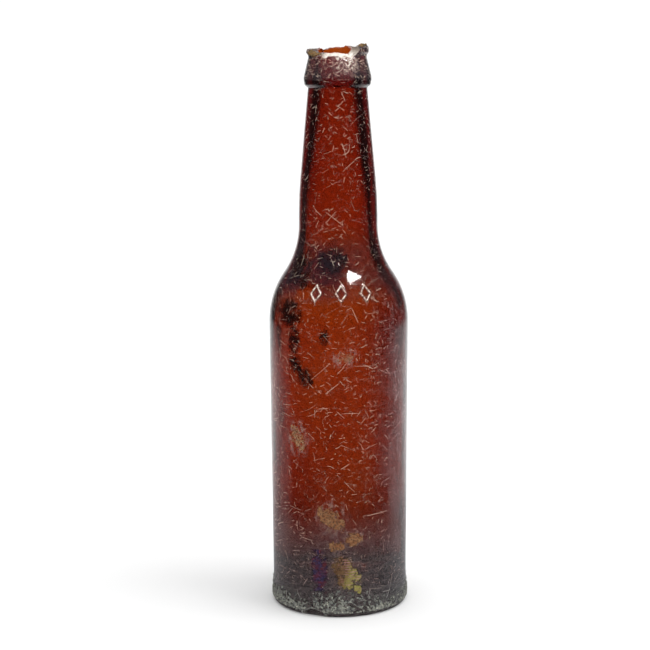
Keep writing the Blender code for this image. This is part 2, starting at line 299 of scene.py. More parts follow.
def fracture_height(azimuth, radius):
    """Height of the broken lip, with shell-like ripples and splinters."""
    place = at(azimuth, radius, 0)
    splinters = abs(fbm(place, 0.0022, 3)) * SPLINTER_HEIGHT
    ripples = SHELL_RIPPLE * math.sin(radius / SHELL_RIPPLE_PITCH + 6 * fbm(place, 0.004, 2))
    return break_height(azimuth, radius) + splinters + ripples - FRACTURE_DROP


def mark_relief(azimuth, height):
    """How proud the raised lozenge outlines stand here, from 0 to 1."""
    most = 0.0
    for middle in MARK_AZIMUTHS:
        across = math.radians(turn_from(azimuth, middle)) * wall_radius("outer", MARK_HEIGHT)
        up = (height - MARK_HEIGHT) / math.cos(SHOULDER_SLOPE)
        if abs(across) > 2 * MARK_HALF_WIDTH or abs(up) > 2 * MARK_HALF_TALL:
            continue
        reach = abs(across) / MARK_HALF_WIDTH + abs(up) / MARK_HALF_TALL - 1
        off = abs(reach) * MARK_HALF_WIDTH * MARK_HALF_TALL / math.hypot(MARK_HALF_WIDTH, MARK_HALF_TALL)
        most = max(most, 1 - smooth(off, 0.15 * MARK_STROKE, 0.62 * MARK_STROKE))
    return most


def heel_scoop(azimuth, radius, height):
    """The radius that the heel chip leaves here, and how near its edge this is, from 0 to 1."""
    along, radial, up = HEEL_CHIP_HALF_SIZES
    side = math.radians(turn_from(azimuth, HEEL_CHIP_AZIMUTH)) * radius
    side += HEEL_CHIP_WANDER * fbm(at(azimuth, radius, height), 0.003, 3)
    inside = 1 - (side / along) ** 2 - (height / up) ** 2
    left = HEEL_RADIUS + HEEL_CHIP_OUT - radial * math.sqrt(max(0, inside))
    left += HEEL_CHIP_RIPPLE * math.sin(math.hypot(side, height) / HEEL_CHIP_RIPPLE_PITCH)
    return min(radius, left), max(0, 1 - abs(radius - left) / HEEL_CHIP_EDGE)


def frost(azimuth):
    """How frosty the broken lip is: white at the front, where it splintered, and clearer elsewhere."""
    return 1 - (1 - FROST_LEAST) * smooth(abs(turn_from(azimuth, FROST_MIDDLE)), *FROST_SPAN)


def painted_collar_glint(azimuth, height):
    """How strong the highlight painted on the collar below the broken lip is here, from 0 to 1."""
    middle, half_width, low, high = PAINTED_COLLAR_GLINT
    across = abs(turn_from(azimuth, middle)) / half_width
    return (1 - smooth(across, 0.3, 1.0)) * smooth(height, low, high)


def node_place(node):
    """Azimuth, radius, height, half width along the wall and half height of a CAD node."""
    low, high = (Vector(corner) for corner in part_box(node))
    middle, half = (low + high) / 2, (high - low) / 2
    azimuth = math.degrees(math.atan2(middle.x, -middle.y))
    a = math.radians(azimuth)
    wide = max(half.x * abs(math.cos(a)) + half.y * abs(math.sin(a)), LEAST_HALF_WIDTH)
    return azimuth, math.hypot(middle.x, middle.y), middle.z, wide, half.z


SUBPARTS = frame["record"]["subparts"]
INNER_DEPOSITS = [node_place(entry["node"]) for entry in SUBPARTS if "residue" in entry["node"]]
OUTER_DEPOSITS = [
    node_place(node)
    for node in (
        "soil_smear_left",
        "ochre_soil_streak",
        "ochre_soil_tail",
        "ochre_soil_lower",
        "olive_crust",
        "pale_film_upper",
    )
]


def nearness(deposits, azimuth, height):
    """1 in the middle of the nearest of these deposits, and 0 at twice its size."""
    most = 0.0
    for middle, radius, level, wide, tall in deposits:
        across = math.radians(turn_from(azimuth, middle)) * radius
        most = max(most, 1 - smooth(math.hypot(across / wide, (height - level) / tall), 0.5, 2.0))
    return most


def column_azimuths():
    """Azimuths of the glass mesh's columns, close together where there is relief."""
    first, last = FINE_AZIMUTHS
    fine = round((last - first) / FINE_COLUMN_STEP)
    coarse = round((360 - last + first) / COLUMN_STEP)
    azimuths = [first + (last - first) * k / fine for k in range(fine)]
    return azimuths + [last + (360 - last + first) * k / coarse for k in range(coarse)]


# The next three functions give the points of one column of the glass mesh, each with its MASKS.


def outside_points(azimuth):
    """From under the base up the outside to the lip's root."""
    points = []
    for k, (radius, height) in enumerate(OUTER_LINE[1:], 1):
        if height > LIP_ROOT:
            break
        relief = mark_relief(azimuth, height)
        chip_edge = 0
        if k >= HEEL_ROW - 4:  # the rows further in lie under the base
            radius, chip_edge = heel_scoop(azimuth, radius, height)
        place = at(azimuth, radius, height)
        radius += wall_wobble("outer", place) * smooth(height, 0.004, 0.02)
        radius += MARK_RELIEF * relief * math.cos(SHOULDER_SLOPE)
        height += MARK_RELIEF * relief * math.sin(SHOULDER_SLOPE)
        near = nearness(OUTER_DEPOSITS, azimuth, height)
        masks = (1, relief, HEEL_CHIP_FROST * chip_edge, painted_collar_glint(azimuth, height), near)
        points.append((at(azimuth, radius, height), masks))
    return points


def lip_points(azimuth):
    """From the lip's root up the outside, over the break, and down the bore to the root's height."""
    points = []
    edge = LIP_ROOT
    for _ in range(4):  # the edge's height depends on the wall's radius there, which depends on the height
        edge = fracture_height(azimuth, wall_radius("outer", min(edge, LIP_TOP)))
    for k in range(LIP_ROWS):
        height = LIP_ROOT + (edge - LIP_ROOT) * (k + 1) / (LIP_ROWS + 1)
        flaked = RIM_FLAKE * smooth(height, edge - RIM_FLAKE_HEIGHT, edge)
        flaked *= 1 + fbm(at(azimuth, RIM_NOISE_RADIUS, height), 0.0016)
        whitened = smooth(height, edge - RIM_FROST_HEIGHT, edge) * frost(azimuth)
        place = at(azimuth, wall_radius("outer", height) - flaked, height)
        points.append((place, (1, 0, whitened, painted_collar_glint(azimuth, height), 0)))
    rim = wall_radius("outer", edge) - RIM_INSET
    for k in range(FRACTURE_ROWS):
        radius = rim + (BORE_RADIUS + BORE_INSET - rim) * k / (FRACTURE_ROWS - 1)
        points.append((at(azimuth, radius, fracture_height(azimuth, radius)), (1, 0, frost(azimuth), 0, 0)))
    bore_top = fracture_height(azimuth, BORE_RADIUS) - BORE_INSET
    for k in range(BORE_ROWS):
        height = bore_top + (LIP_ROOT - bore_top) * k / BORE_ROWS
        points.append((at(azimuth, wall_radius("inner", height), height), (0, 0, 0, 0, 0)))
    return points


def inside_points(azimuth):
    """Down the inside to the floor."""
    points = []
    for radius, height in INNER_LINE[:-1]:
        if height < LIP_ROOT:
            wobble = wall_wobble("inner", at(azimuth, radius, height)) * smooth(radius, 0.004, 0.009)
            near = nearness(INNER_DEPOSITS, azimuth, height)
            points.append((at(azimuth, radius + wobble, height), (0, 0, 0, 0, near)))
    return points


def add_piece(name, fill, material, sharp=None):
    """A piece whose mesh is what fill puts in an empty bmesh, with edges over sharp degrees kept sharp."""
    bm = bmesh.new()
    fill(bm)
    bmesh.ops.recalc_face_normals(bm, faces=bm.faces)
    mesh = bpy.data.meshes.new(name)
    bm.to_mesh(mesh)
    bm.free()
    mesh.shade_smooth()
    if sharp:
        mesh.set_sharp_from_angle(angle=math.radians(sharp))
    mesh.materials.append(material)
    piece = bpy.data.objects.new(name, mesh)
    bpy.context.scene.collection.objects.link(piece)
    return piece


def settle(piece, node):
    """The piece rides with the bottle and stands for the CAD node."""
    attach(piece, "root")
    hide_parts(node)


def glass_body():
    """The bottle's glass as one closed skin, with its masks as attributes."""

    def fill(bm):
        layers = [bm.verts.layers.float.new(name) for name in MASKS]
        rings = []
        for azimuth in column_azimuths():
            ring = []
            for place, masks in outside_points(azimuth) + lip_points(azimuth) + inside_points(azimuth):
                vert = bm.verts.new(place)
                for layer, mask in zip(layers, masks):
                    vert[layer] = mask
                ring.append(vert)
            rings.append(ring)
        under = bm.verts.new((0, 0, OUTER_LINE[0].y))
        under[layers[0]] = 1
        inside = bm.verts.new((0, 0, INNER_LINE[-1].y))
        for here, there in zip(rings, rings[1:] + rings[:1]):
            bm.faces.new((under, here[0], there[0]))
            bm.faces.new((inside, there[-1], here[-1]))
            for k in range(len(here) - 1):
                bm.faces.new((here[k], here[k + 1], there[k + 1], there[k]))

    settle(add_piece("bottle_glass", fill, amber_glass(), sharp=38), "glass_bottle")


# ---------------------------------------------------------------- deposits


def flakes(bm, columns, rows, field, under, over, wrap=False):
    """Closed flakes over a grid, wherever field is above 0, between the points under and over.

    field, under and over take a place on the grid, which is between its lines along a flake's rim. The
    attribute depth is 0 at the rims and the field further in.
    """
    values = [[field(i, j) for j in range(rows + 1)] for i in range(columns + 1)]
    if wrap:
        values[columns] = values[0]
    verts = {}
    layer = bm.verts.layers.float.new("depth")

    def vert(ends):
        key = tuple(sorted((i % columns if wrap else i, j) for i, j in ends))
        if key not in verts:
            (i, j), (m, n) = ends[0], ends[-1]
            a, b = values[i][j], values[m][n]
            share = min(1 - RIM_MARGIN, max(RIM_MARGIN, a / (a - b))) if len(ends) == 2 else 0
            place = (i + (m - i) * share, j + (n - j) * share)
            depth = a if len(ends) == 1 else 0
            verts[key] = (bm.verts.new(over(*place, depth)), bm.verts.new(under(*place)))
            for end in verts[key]:
                end[layer] = depth
        return verts[key]

    for i in range(columns):
        for j in range(rows):
            corners = [(i, j), (i + 1, j), (i + 1, j + 1), (i, j + 1)]
            outline = []
            for a, b in zip(corners, corners[1:] + corners[:1]):
                if values[a[0]][a[1]] > 0:
                    outline.append(vert([a]))
                if (values[a[0]][a[1]] > 0) != (values[b[0]][b[1]] > 0):
                    outline.append(vert(sorted([a, b])))
            if len(outline) > 2:
                bm.faces.new([top for top, _ in outline])
                bm.faces.new([bottom for _, bottom in reversed(outline)])
    bottom_of = {top: bottom for top, bottom in verts.values()}
    rims = [edge for edge in bm.edges if len(edge.link_faces) == 1 and edge.verts[0] in bottom_of]
    for edge in rims:
        a, b = edge.verts
        bm.faces.new((a, b, bottom_of[b], bottom_of[a]))


def add_flakes(node, kind, material, columns, rows, field, place, over, wrap=False):
    """The flakes that stand for a CAD node. place(i, j, lift) is a point that far off the glass."""

    def fill(bm):
        flakes(bm, columns, rows, field, lambda i, j: place(i, j, UNDER_LIFT), over, wrap)

    settle(add_piece(f"{node}_{kind}", fill, material, sharp=60), node)


def wall_deposit(node, material, wall, tilt, thick, ragged, grain, fullness=0.75):
    """A deposit on the inner or outer wall, as ragged flakes that cover about what its CAD node does."""
    azimuth, _, height, wide, tall = node_place(node)
    way = -1 if wall == "inner" else 1
    lean = math.tan(math.radians(tilt))
    cell = 0.00026
    columns, rows = (math.ceil(2 * GRID_REACH * half / cell) for half in (wide, tall))
    seed = Vector((dice.uniform(0, 9), dice.uniform(0, 9), dice.uniform(0, 9)))

    def local(i, j):
        return (i / columns - 0.5) * 2 * GRID_REACH * wide, (j / rows - 0.5) * 2 * GRID_REACH * tall

    def place(i, j, lift):
        across, up = local(i, j)
        here = wall_radius(wall, height + up)
        spread = azimuth + math.degrees(across / wall_radius(wall, height))
        return at(spread, here + wall_wobble(wall, at(spread, here, height + up)) + way * lift, height + up)

    def field(i, j):
        across, up = local(i, j)
        reach = math.hypot((across - up * lean) / wide, up / tall)
        if max(abs(across) / wide, abs(up) / tall) > OUTLINE_REACH:
            return -1
        spot = Vector((across, up, 0))
        clouds = fbm(spot + seed, grain, 5) + 0.6 * fbm(spot + seed * 2, grain * 0.25, 4)
        return fullness - reach**2 * 0.8 + ragged * clouds

    def over(i, j, depth):
        bumps = 1 + 0.6 * fbm(Vector((i * cell, j * cell, 1)) + seed, 0.0008, 3)
        return place(i, j, RIM_LIFT + thick * max(0.15, smooth(depth, -0.05, 0.35) * bumps))

    add_flakes(node, "flakes", material, columns, rows, field, place, over)


def lip_deposit(node, material, half_span):
    """Soil packed on the broken lip."""
    azimuth = node_place(node)[0]
    thick, cell = 0.0005, 0.00016
    columns = math.ceil(2 * LIP_GRID_REACH * math.radians(half_span) * LIP_SOIL_RADIUS / cell)
    rows = math.ceil(2 * LIP_GRID_REACH * LIP_SOIL_HALF_WIDTH / cell)
    seed = Vector((dice.uniform(0, 9), dice.uniform(0, 9), 3))

    def local(i, j):
        return (i / columns - 0.5) * 2 * LIP_GRID_REACH, (j / rows - 0.5) * 2 * LIP_GRID_REACH

    def place(i, j, lift):
        side, out = local(i, j)
        here, away = azimuth + side * half_span, LIP_SOIL_RADIUS + out * LIP_SOIL_HALF_WIDTH
        return at(here, away, fracture_height(here, away) + lift)

    def field(i, j):
        side, out = local(i, j)
        return 0.85 - side**2 - out**2 + 0.6 * fbm(place(i, j, 0) + seed, 0.0014)

    def over(i, j, depth):
        lumps = 1 + 0.9 * fbm(place(i, j, 0) + seed, 0.0006, 3)
        return place(i, j, RIM_LIFT + thick * max(0.12, smooth(depth, 0, 0.5) * lumps))

    add_flakes(node, "crumbs", material, columns, rows, field, place, over)


def heel_deposit(material):
    """The broken band of mineral crust round the heel."""
    columns, rows = 720, 44
    rim_lift, thick = 0.00005, 0.00030
    low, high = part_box("heel_crust")
    bottom, top = low[2], high[2] + CRUST_ABOVE_NODE
    seed = Vector((5, 2, 8))

    def spot(i, j):
        return 360 * i / columns, bottom + (top - bottom) * j / rows

    def place(i, j, lift):
        azimuth, height = spot(i, j)
        radius, _ = heel_scoop(azimuth, wall_radius("outer", height), height)
        return at(azimuth, radius + lift, height)

    def field(i, j):
        azimuth, height = spot(i, j)
        here = place(i % columns, j, 0)
        unbroken = wall_radius("outer", height)
        chipped, chip_edge = heel_scoop(azimuth, unbroken, height)
        share = (height - bottom) / (top - bottom)
        cover = 0.55 - 1.25 * share + 0.5 * fbm(here + seed, 0.012, 3)
        cover += 0.9 * fbm(here + seed, 0.0012, 5)
        cover -= 2 * chip_edge + (unbroken - chipped) / 0.0001
        return min(cover, (height - bottom) / 0.0006 - 0.3, 3)

    def over(i, j, depth):
        grain = 1 + 0.8 * fbm(place(i % columns, j, 0) + seed, 0.0007, 3)
        return place(i, j, rim_lift + thick * max(0.1, smooth(depth, 0, 0.5) * grain))

    add_flakes("heel_crust", "grains", material, columns, rows, field, place, over, wrap=True)


# ---------------------------------------------------------------- materials


class Tree:
    """A material's nodes, with short ways to add and join them."""

    def __init__(self, name):
        self.material = bpy.data.materials.new(name)
        self.material.use_nodes = True
        self.tree = self.material.node_tree
        self.shader = self.tree.nodes["Principled BSDF"]
        self.output = self.tree.nodes["Material Output"]
        self.place = self.add("ShaderNodeNewGeometry").outputs["Position"]
        self.normal = self.add("ShaderNodeNewGeometry").outputs["Normal"]

    def add(self, kind, inputs=None, **settings):
        node = self.tree.nodes.new(kind)
        for name, value in settings.items():
            setattr(node, name, value)
        for name, value in (inputs or {}).items():
            self.feed(node.inputs[name], value)
        return node

    def feed(self, socket, value):
        if isinstance(value, bpy.types.NodeSocket):
            self.tree.links.new(value, socket)
        elif isinstance(value, tuple) and len(value) == 3 and socket.type == "RGBA":
            socket.default_value = (*value, 1)
        else:
            socket.default_value = value

    def maths(self, operation, a, b=0.0, clamp=False):
        node = self.add("ShaderNodeMath", {0: a, 1: b}, operation=operation, use_clamp=clamp)
        return node.outputs[0]

    def most(self, *values):
        return functools.reduce(functools.partial(self.maths, "MAXIMUM"), values)

    def times(self, *values):
        return functools.reduce(functools.partial(self.maths, "MULTIPLY"), values)

    def vector(self, operation, a, b=(0.0, 0.0, 0.0), scale=1.0):
        node = self.add("ShaderNodeVectorMath", {0: a, 1: b, 3: scale}, operation=operation)
        return node.outputs["Value" if operation in ("DOT_PRODUCT", "LENGTH") else "Vector"]

    def step(self, value, low, high, least=0.0, most=1.0):
        """A soft step from least, where value is at low, to most, where it is at high."""
        ends = {"Value": value, "From Min": low, "From Max": high, "To Min": least, "To Max": most}
        return self.add("ShaderNodeMapRange", ends, interpolation_type="SMOOTHSTEP").outputs["Result"]

    def mix(self, factor, a, b):
        node = self.add("ShaderNodeMix", data_type="RGBA")
        for socket, value in zip((node.inputs[0], node.inputs[6], node.inputs[7]), (factor, a, b)):
            self.feed(socket, value)
        return node.outputs[2]

    def cloud(self, size, detail=3.0, rough=0.55, stretch=(1.0, 1.0, 1.0), shift=(0.0, 0.0, 0.0)):
        """Noise about 0.5, with features of this size in metres."""
        place = self.vector("ADD", self.vector("MULTIPLY", self.place, stretch), shift)
        inputs = {"Vector": place, "Scale": 1 / size, "Detail": detail, "Roughness": rough}
        return self.add("ShaderNodeTexNoise", inputs).outputs["Fac"]

    def attribute(self, name):
        return self.add("ShaderNodeAttribute", attribute_name=name).outputs["Fac"]

    def separate(self, vector):
        return self.add("ShaderNodeSeparateXYZ", {0: vector}).outputs

    def bump(self, height, distance, strength=1.0):
        node = self.add("ShaderNodeBump", {"Height": height, "Distance": distance, "Strength": strength})
        return node.outputs["Normal"]

    def surface(self, **inputs):
        for name, value in inputs.items():
            self.feed(self.shader.inputs[name.replace("_", " ")], value)
        return self.material


def scratches(t, cell, width, reach, keep, shift, wobble, lie=1.0):
    """Thin lines on the surface, one for some of the cells, as brightness from 0 to 1.

    With lie below 1 the lines tend to run round the bottle, above 1 to run up and down it.
    """
    place = t.vector("ADD", t.place, shift)
    bend = t.add("ShaderNodeTexNoise", {"Vector": place, "Scale": 0.9 / cell, "Detail": 1.0})
    bend = t.vector("SUBTRACT", bend.outputs["Color"], (0.5, 0.5, 0.5))
    place = t.vector("ADD", place, t.vector("SCALE", bend, scale=wobble))
    cells = t.add("ShaderNodeTexVoronoi", {"Vector": place, "Scale": 1 / cell}).outputs
    offset = t.vector("SUBTRACT", place, cells["Position"])
    heading = t.vector("SUBTRACT", cells["Color"], (0.5, 0.5, 0.5))
    heading = t.vector("MULTIPLY", heading, (1.0, 1.0, lie))
    across = t.vector("NORMALIZE", t.vector("CROSS_PRODUCT", heading, t.normal))
    away = t.maths("ABSOLUTE", t.vector("DOT_PRODUCT", offset, across))
    chance = t.add("ShaderNodeTexWhiteNoise", {"Vector": cells["Position"]}).outputs["Value"]
    line = t.step(away, width, width * 0.45)
    ends = t.step(t.vector("LENGTH", offset), reach, reach * 0.7)
    # Most scratches are faint, and a few are strong
    strength = t.maths("POWER", t.step(chance, 1 - keep, 1.0, 0.48, 1.0), 2.0)
    return t.times(line, ends, strength, t.maths("GREATER_THAN", chance, 1 - keep))


def scratched(t, height, on_finish):
    """Scratches of five sizes all over, and crowded ones on the finish, as brightness from 0 to 1."""
    lines = t.most(*[scratches(t, *layer) for layer in SCRATCH_LAYERS])
    # The body is worn in patches, the upper neck all over, and the foot of the collar is sheltered
    worn = t.most(t.step(t.cloud(0.016, 3.0), 0.36, 0.62, 0.35, 1.0), t.step(height, 0.175, 0.215))
    sheltered = t.times(t.step(height, 0.2240, 0.2262), t.step(height, 0.2290, 0.2275), 0.8)
    worn = t.maths("SUBTRACT", worn, sheltered, clamp=True)
    crowded = scratches(t, 0.0017, 0.00010, 0.0011, 0.75, (0.63, 0.27, 0.3), 0.0001, lie=0.6)
    return t.most(t.times(lines, worn), t.times(crowded, on_finish))


def speckled(t):
    """Pale specks, crowded in some places."""
    dots = scratches(t, 0.0018, 0.00020, 0.0002, 0.45, (0.51, 0.32, 0.9), 0.0001)
    return t.times(dots, t.step(t.cloud(0.013, 3.0, shift=(0.8, 0.5, 0.2)), 0.42, 0.60, 0.15, 1.0))


def scuffed(t, side, height, on_finish):
    """Scuffs: speckle in patches, and streaks on the body's right side, where it rubbed against things."""
    lying = t.cloud(0.0014, 4.0, 0.7, stretch=(0.22, 0.22, 2.4))
    lying = t.times(t.step(side, 0.002, 0.022), t.step(lying, 0.56, 0.72))
    upright = t.cloud(0.0012, 4.0, 0.7, stretch=(2.0, 2.0, 0.12), shift=(0.2, 0.2, 0.4))
    upright = t.times(t.step(side, 0.016, 0.028), t.step(upright, 0.50, 0.70))
    rubbed = t.times(t.most(lying, upright), t.step(height, 0.150, 0.125))
    speckle = t.step(t.cloud(0.0008, 3.0, 0.8, shift=(0.5, 0.2, 0.1)), 0.60, 0.72)
    patches = t.step(t.cloud(0.012, 4.0, 0.65, shift=(0.9, 0.4, 0.3)), 0.50, 0.62)
    patches = t.most(patches, t.times(on_finish, 0.7))
    return t.most(t.times(speckle, patches), t.times(rubbed, 0.35))


def grimy_shoulder(t, side, height):
    """Where the shoulder is dark with grime, which is most at its left."""
    shoulder = t.times(t.step(height, 0.1340, 0.1420), t.step(height, 0.1680, 0.1540))
    clouds = t.step(t.cloud(0.011, 3.0, shift=(0.3, 0.6, 0.2)), 0.36, 0.56)
    return t.times(shoulder, clouds, t.step(side, 0.014, -0.006, 0.45, 0.95))


def hazy(t, side, height, low, grime, on_finish):
    """Thin films: on the finish and the grime, where the right side was rubbed, and a bloom low down."""
    film = t.most(t.times(on_finish, 0.030), t.times(grime, 0.026))
    rubbed = t.times(t.step(side, 0.012, 0.027, 0.0, 0.06), t.step(height, 0.135, 0.115))
    rubbed = t.times(rubbed, t.step(t.cloud(0.014, 4.0, 0.6, shift=(0.4, 0.1, 0.2)), 0.40, 0.60))
    bloom = t.times(low, t.step(t.cloud(0.0010, 6.0, 0.85), 0.44, 0.74, 0.07, 0.8))
    return t.most(film, rubbed, t.times(bloom, 0.38))


def wear_colour(t, side, height, low, specks, on_finish, whitened):
    """The colour of what is worn, and of the painted highlight on the collar: sandy, mauve at the right,
    white where it is broken and on the painted highlight, grey at the heel.
    """
    tone = t.mix(t.cloud(0.008, 3.0), (0.88, 0.74, 0.56), (0.62, 0.47, 0.36))
    tone = t.mix(t.times(t.step(side, 0.014, 0.026), 0.6), tone, (0.52, 0.40, 0.50))
    tone = t.mix(specks, tone, (0.74, 0.62, 0.36))
    tone = t.mix(t.times(on_finish, 0.7), tone, (0.80, 0.56, 0.42))
    # The frost colour also colours the highlight painted on the collar
    tone = t.mix(whitened, tone, (0.96, 0.91, 0.82))
    tone = t.mix(t.times(low, 0.8), tone, (0.44, 0.24, 0.18))
    tone = t.mix(t.times(t.step(height, 0.028, 0.016), 0.7), tone, (0.40, 0.25, 0.22))
    return t.mix(t.times(t.step(height, 0.017, 0.006), 0.9), tone, (0.40, 0.41, 0.38))


def clear_tint(t, side, height, grime):
    """What dims the clear glass: clouds, weathering low down and at the right, the neck, grime and pits."""
    clouds = t.step(t.cloud(0.018, 3.0, stretch=(1.0, 1.0, 0.4)), 0.35, 0.65)
    tint = t.mix(clouds, (1.0, 1.0, 1.0), (0.86, 0.84, 0.76))
    tint = t.mix(t.step(height, 0.056, 0.020), tint, (0.78, 0.60, 0.62))
    tint = t.mix(t.step(side, 0.008, 0.024), tint, (0.76, 0.70, 0.74))
    mottled = t.step(t.cloud(0.0011, 5.0, 0.8, shift=(0.6, 0.1, 0.9)), 0.52, 0.36)
    tint = t.mix(mottled, tint, (0.74, 0.64, 0.66))
    tint = t.mix(t.step(height, 0.150, 0.175), tint, (0.88, 0.73, 0.82))
    tint = t.mix(grime, tint, (0.42, 0.28, 0.44))
    pits = scratches(t, 0.0027, 0.00026, 0.0003, 0.30, (0.13, 0.22, 0.7), 0.0002)
    return t.mix(t.times(pits, 0.9), tint, (0.10, 0.06, 0.06))


def dregs(t, near, outside):
    """Where brown dregs dried on the inside, round the residue."""
    patches = t.cloud(0.0024, 6.0, 0.8, shift=(0.7, 0.2, 0.5))
    patches = t.maths("ADD", t.times(near, t.maths("SUBTRACT", 1.0, outside), 0.5), patches)
    around = t.maths("SUBTRACT", t.step(near, 0.0, 0.2), outside, clamp=True)
    return t.times(t.step(patches, 0.66, 0.90, 0.0, 0.85), around)


def fill_with_amber(t):
    """The glass takes light out all the way through, so it is darker where it is thick."""
    densest = max(ABSORPTION)
    colour = tuple(1 - a / densest for a in ABSORPTION)
    volume = t.add("ShaderNodeVolumeAbsorption", {"Color": colour, "Density": densest})
    t.feed(t.output.inputs["Volume"], volume.outputs[0])


def amber_glass():
    """Red-amber glass with scratches, scuffs, a weathered bloom, a frosted broken lip and a highlight
    painted on the collar.
    """
    t = Tree("amber_glass")
    side, _, height = t.separate(t.place)
    outside, near = t.attribute("outside"), t.attribute("near")
    on_finish = t.step(height, 0.2285, 0.2310)
    low = t.step(height, 0.050, 0.020)
    grime = grimy_shoulder(t, side, height)
    lines, specks = scratched(t, height, on_finish), speckled(t)
    marks = t.times(t.attribute("relief"), t.step(t.cloud(0.0012, 3.0, 0.7), 0.38, 0.60, 0.10, 1.0))
    broken = t.times(t.attribute("broken"), t.step(t.cloud(0.0022, 4.0, 0.7), 0.32, 0.48, 0.35, 1.0))
    # A highlight painted on the collar, below the broken lip, as whitened glass
    glint_on_collar = t.times(t.attribute("painted_collar_glint"), t.step(t.cloud(0.0011, 5.0, 0.8), 0.44, 0.62))
    # How white the glass is: 0 is clear and 1 is opaque
    scuffs, haze = scuffed(t, side, height, on_finish), hazy(t, side, height, low, grime, on_finish)
    white = t.most(t.times(lines, 0.95), t.times(scuffs, 0.5), specks, haze, t.times(glint_on_collar, 0.85))
    white = t.most(t.times(white, outside), marks, t.times(broken, 0.95))
    tone = wear_colour(t, side, height, low, specks, on_finish, t.most(marks, broken, glint_on_collar))
    # Brown dust lies round the soil on the outside
    wisps = t.cloud(0.0020, 5.0, 0.75, stretch=(1.3, 1.3, 0.6), shift=(0.1, 0.8, 0.3))
    dust = t.times(near, outside, t.step(wisps, 0.46, 0.64))
    tone = t.mix(t.times(dust, t.step(white, 0.3, 0.0)), tone, (0.30, 0.125, 0.045))
    white = t.most(white, t.times(dust, 0.4))
    tint = t.mix(dregs(t, near, outside), clear_tint(t, side, height, grime), (0.16, 0.12, 0.13))
    rough = t.step(t.cloud(0.006, 5.0, 0.65, shift=(0.4, 0.4, 0.4)), 0.35, 0.7, 0.04, 0.12)
    dents = t.maths("SUBTRACT", t.times(t.cloud(0.004, 2.0), 0.15), t.times(lines, 0.3))
    fill_with_amber(t)
    return t.surface(
        Base_Color=t.mix(t.step(white, 0.0, 0.3), tint, tone),
        Transmission_Weight=t.maths("SUBTRACT", 1.0, white, clamp=True),
        Roughness=t.maths("ADD", rough, t.times(white, 0.5), clamp=True),
        IOR=1.52,
        Normal=t.bump(dents, 0.0003, 0.25),
    )


def thinning(t, alpha, least, reach):
    """How much a deposit hides: patchy, and fading out over its rims until its depth is at reach."""
    patchy = t.step(t.cloud(0.0008, 4.0, 0.7), 0.32, 0.62, least * alpha, alpha)
    return t.times(t.step(t.attribute("depth"), 0.0, reach, 0.15, 1.0), patchy)


def deposit(name, colours, size, grains=None, alpha=1.0, least=0.6, reach=0.4):
    """A dry deposit: colours that cloud into each other, grains in it, and a crumbly surface."""
    t = Tree(name)
    first, second, third = colours
    colour = t.mix(t.step(t.cloud(size, 5.0, 0.65), 0.36, 0.62), first, second)
    colour = t.mix(t.step(t.cloud(size * 0.45, 4.0, 0.6, shift=(0.3, 0.1, 0.7)), 0.5, 0.68), colour, third)
    if grains:
        speck = t.step(t.cloud(0.0007, 3.0, 0.7, shift=(0.6, 0.6, 0.1)), 0.56, 0.64)
        colour = t.mix(speck, colour, grains)
    crumbs = t.cloud(0.0006, 5.0, 0.7)
    return t.surface(
        Base_Color=colour,
        Roughness=t.step(crumbs, 0.3, 0.7, 0.65, 0.95),
        Specular_IOR_Level=0.25,
        Alpha=thinning(t, alpha, least, reach),
        Normal=t.bump(crumbs, 0.00025),
    )


def olive_scale():
    """Crust that turns from brown at its left, through pink ripples, to olive at its lower right."""
    t = Tree("olive_crust")
    side, _, height = t.separate(t.place)
    blur = t.times(t.maths("SUBTRACT", t.cloud(0.005, 4.0, 0.7), 0.5), 0.012)
    across = t.maths("ADD", t.maths("SUBTRACT", side, t.times(height, 0.2)), blur)
    colour = t.mix(t.step(across, -0.003, 0.002), (0.13, 0.065, 0.026), (0.26, 0.23, 0.055))
    bend = t.times(t.cloud(0.004, 3.0), 9.0)
    waves = t.maths("SINE", t.maths("ADD", t.times(height, 2 * math.pi / 0.0011), bend))
    patches = t.step(t.cloud(0.004, 3.0, shift=(0.3, 0.3, 0.9)), 0.44, 0.58)
    pink = t.times(t.step(waves, -0.2, 0.8), patches, t.step(height, 0.010, 0.014))
    colour = t.mix(t.times(pink, 0.75), colour, (0.34, 0.16, 0.17))
    dark = t.step(t.cloud(0.0011, 5.0, 0.8, shift=(0.2, 0.9, 0.9)), 0.52, 0.66)
    colour = t.mix(t.times(dark, 0.75), colour, (0.05, 0.035, 0.02))
    light = t.step(t.cloud(0.0007, 3.0, 0.7, shift=(0.8, 0.4, 0.9)), 0.60, 0.70)
    return t.surface(
        Base_Color=t.mix(t.times(light, 0.6), colour, (0.42, 0.38, 0.22)),
        Roughness=t.step(dark, 0.0, 1.0, 0.6, 0.9),
        Specular_IOR_Level=0.25,
        Alpha=thinning(t, 1.0, 0.65, 0.35),
        Normal=t.bump(t.cloud(0.0006, 5.0, 0.7), 0.0002),
    )


def iridescent():
    """Thin weathered scale: violet, blue and red bands over dark glass."""
    t = Tree("iridescent_scale")
    bands = t.cloud(0.003, 4.0, 0.6, stretch=(1.0, 1.0, 1.6))
    colour = t.mix(t.step(bands, 0.40, 0.54), (0.085, 0.014, 0.035), (0.03, 0.02, 0.075))
    red = t.step(t.cloud(0.0016, 3.0, shift=(0.1, 0.5, 0.3)), 0.52, 0.64)
    colour = t.mix(red, colour, (0.13, 0.016, 0.022))
    lines = t.step(t.cloud(0.0012, 3.0, 0.6, stretch=(0.3, 0.3, 3.0)), 0.55, 0.7)
    return t.surface(
        Base_Color=t.mix(t.times(lines, 0.4), colour, (0.20, 0.14, 0.24)),
        Roughness=t.step(bands, 0.3, 0.7, 0.2, 0.5),
        Specular_IOR_Level=0.6,
        Alpha=thinning(t, 0.85, 0.5, 0.5),
        Normal=t.bump(t.cloud(0.0008, 3.0, 0.6), 0.0001),
    )


